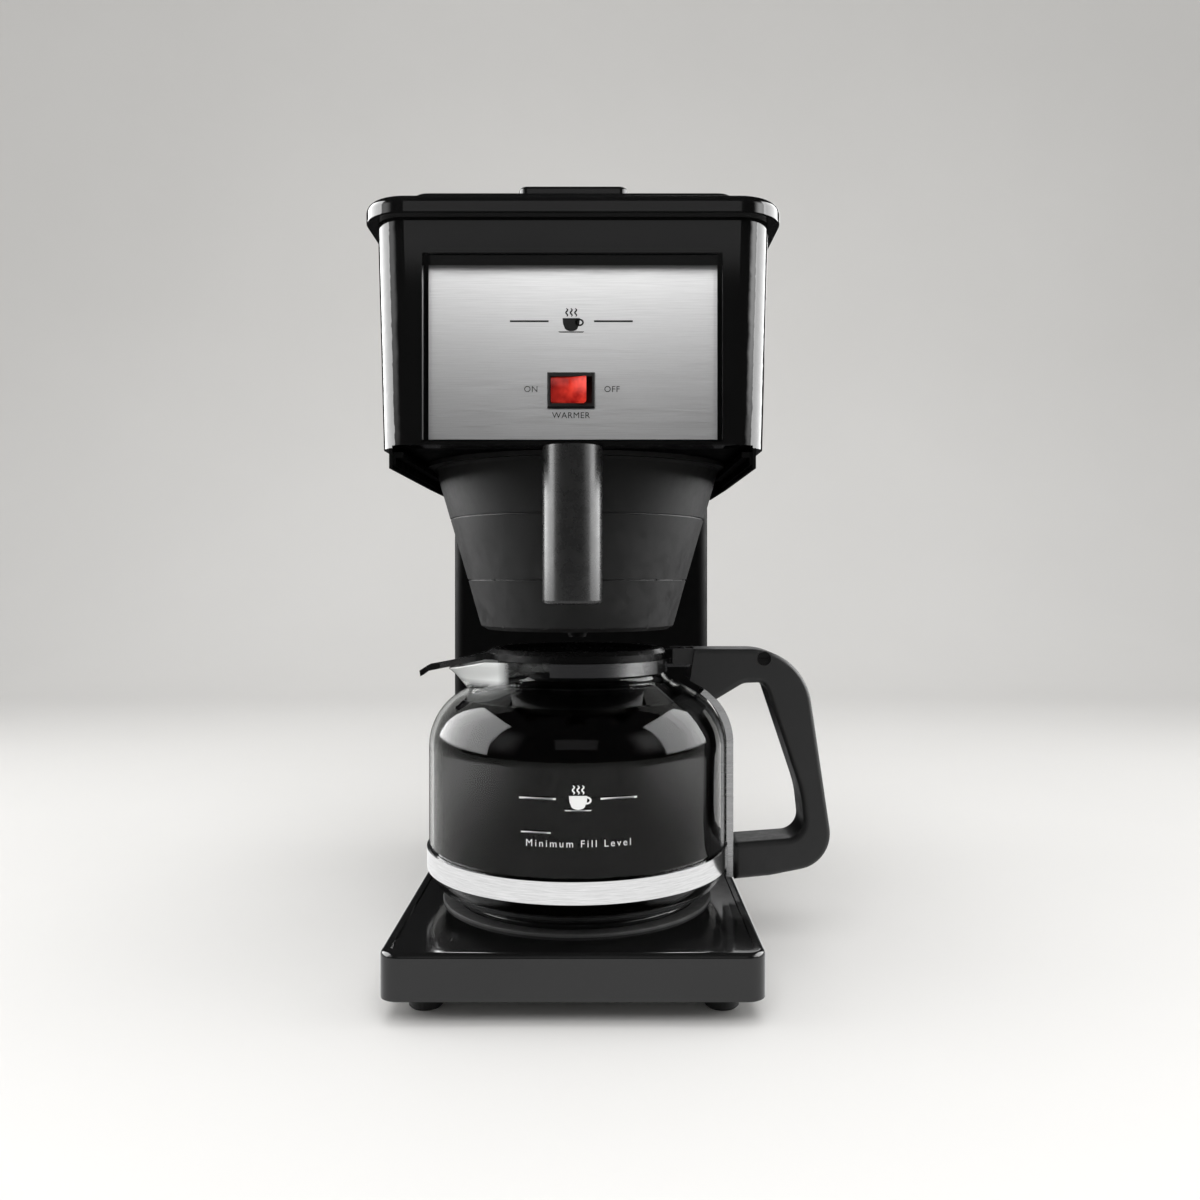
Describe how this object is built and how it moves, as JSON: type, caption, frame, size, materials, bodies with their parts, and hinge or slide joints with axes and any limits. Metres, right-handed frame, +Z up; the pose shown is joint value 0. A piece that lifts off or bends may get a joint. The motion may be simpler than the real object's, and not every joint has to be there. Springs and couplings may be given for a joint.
{
  "type": "drip coffee maker",
  "caption": "Drip coffee maker with a hot water tank, lidded reservoir, slide-in brew funnel, warmer plate and glass carafe",
  "frame": {"origin": "middle of the footprint, on the surface that the feet stand on", "axes": "+Z up, -Y towards the user, +X to the side of the carafe handle, which is at the right seen from the front"},
  "size_m": [0.2262, 0.35, 0.378],
  "materials": {
    "base_gloss": "glossy moulded top, finer satin sides",
    "shell_black": "glossy moulded",
    "tower_black": "fine matt moulded",
    "screw_black": "black oxide",
    "plastic_black": "satin moulded",
    "rubber_black": "matt",
    "silicone": "matt translucent grey",
    "steel_brushed": "brushed sideways",
    "steel_polished": "polished",
    "steel_plain": "plain",
    "warmer_coating": "smooth non-stick coating",
    "brass_blades": "bright",
    "tube_clear": "natural white",
    "rocker_red": "clear red, lit from inside",
    "funnel_black": "satin moulded",
    "funnel_grip": "glossy moulded",
    "carafe_glass": "clear",
    "handle_black": "fine matt moulded",
    "carafe_lid_black": "satin moulded"
  },
  "bodies": {
    "root": {"base_shell": "base_gloss", "hood_shell": "shell_black", "top_rim": "shell_black", "tower_shell": "tower_black", "hood_underside": "tower_black", "funnel_rail_left": "tower_black", "funnel_rail_right": "tower_black", "base_plate": "plastic_black", "back_cover": "plastic_black", "valve_seat": "plastic_black", "valve_nut": "plastic_black", "terminal_block": "plastic_black", "tank_support": "plastic_black", "warmer_switch_frame": "plastic_black", "tank_switch_frame": "plastic_black", "tank_thermostat": "plastic_black", "thermal_cutoff": "plastic_black", "warmer_thermostat": "plastic_black", "reservoir_basin": "plastic_black", "sprayhead": "plastic_black", "feet": "rubber_black", "cord_inlet_grommet": "rubber_black", "warmer_ring": "rubber_black", "valve_gasket": "silicone", "tank_seal": "silicone", "sprayhead_seal": "silicone", "front_panel": "steel_brushed", "lid_hinge_pins": "steel_polished", "foot_screws": "steel_plain", "cover_screws": "steel_plain", "hot_water_tank": "steel_plain", "tank_lid": "steel_plain", "tank_screws": "steel_plain", "tank_heater": "steel_plain", "valve_spring": "steel_plain", "spray_tube": "steel_plain", "warmer_heater": "steel_plain", "warmer_plate": "warmer_coating", "switch_terminals": "brass_blades", "cold_fill_tube": "tube_clear"},
    "reservoir_lid": {"reservoir_lid": "shell_black"},
    "water_valve": {"valve_stem": "plastic_black", "valve_seal": "silicone"},
    "funnel": {"funnel_body": "funnel_black", "funnel_handle": "funnel_grip"},
    "carafe": {"carafe_glass": "carafe_glass", "base_band": "steel_polished", "neck_band": "steel_polished", "handle_spine": "steel_polished", "carafe_handle": "handle_black", "carafe_lid_pin": "steel_polished", "handle_screw": "screw_black", "band_clamp_screw": "screw_black"},
    "carafe_lid": {"carafe_lid": "carafe_lid_black"},
    "warmer_rocker": {"warmer_rocker": "rocker_red"},
    "tank_rocker": {"tank_rocker": "plastic_black"}
  },
  "joints": [
    {"name": "lid_hinge", "type": "hinge", "parent": "root", "child": "reservoir_lid", "pos_m": [-0.0192, 0.1204, 0.3714], "axis": [-1, 0, 0], "range_deg": [0, 100]},
    {"name": "valve_slide", "type": "slide", "parent": "root", "child": "water_valve", "axis": [0, 0, 1], "range_m": [0, 0.006], "deforming": ["valve_spring"]},
    {"name": "funnel_slide", "type": "slide", "parent": "root", "child": "funnel", "axis": [0, -1, 0], "range_m": [0, 0.18]},
    {"name": "carafe_slide", "type": "slide", "parent": "root", "child": "carafe", "axis": [0, -1, 0], "range_m": [0, 0.25]},
    {"name": "carafe_lid_hinge", "type": "hinge", "parent": "carafe", "child": "carafe_lid", "pos_m": [0.0368, -0.0696, 0.1586], "axis": [0, 1, 0], "range_deg": [0, 4.5]},
    {"name": "warmer_switch", "type": "hinge", "parent": "root", "child": "warmer_rocker", "pos_m": [-0.02, -0.1506, 0.284], "axis": [0, 0, 1], "range_deg": [0, 24]},
    {"name": "tank_switch", "type": "hinge", "parent": "root", "child": "tank_rocker", "pos_m": [0.0258, 0.167, 0.07], "axis": [0, 0, 1], "range_deg": [0, 24]}
  ],
  "couplings": [
    {"joint": "valve_slide", "follows": "lid_hinge", "m_per_rad": 0.00343}
  ]
}
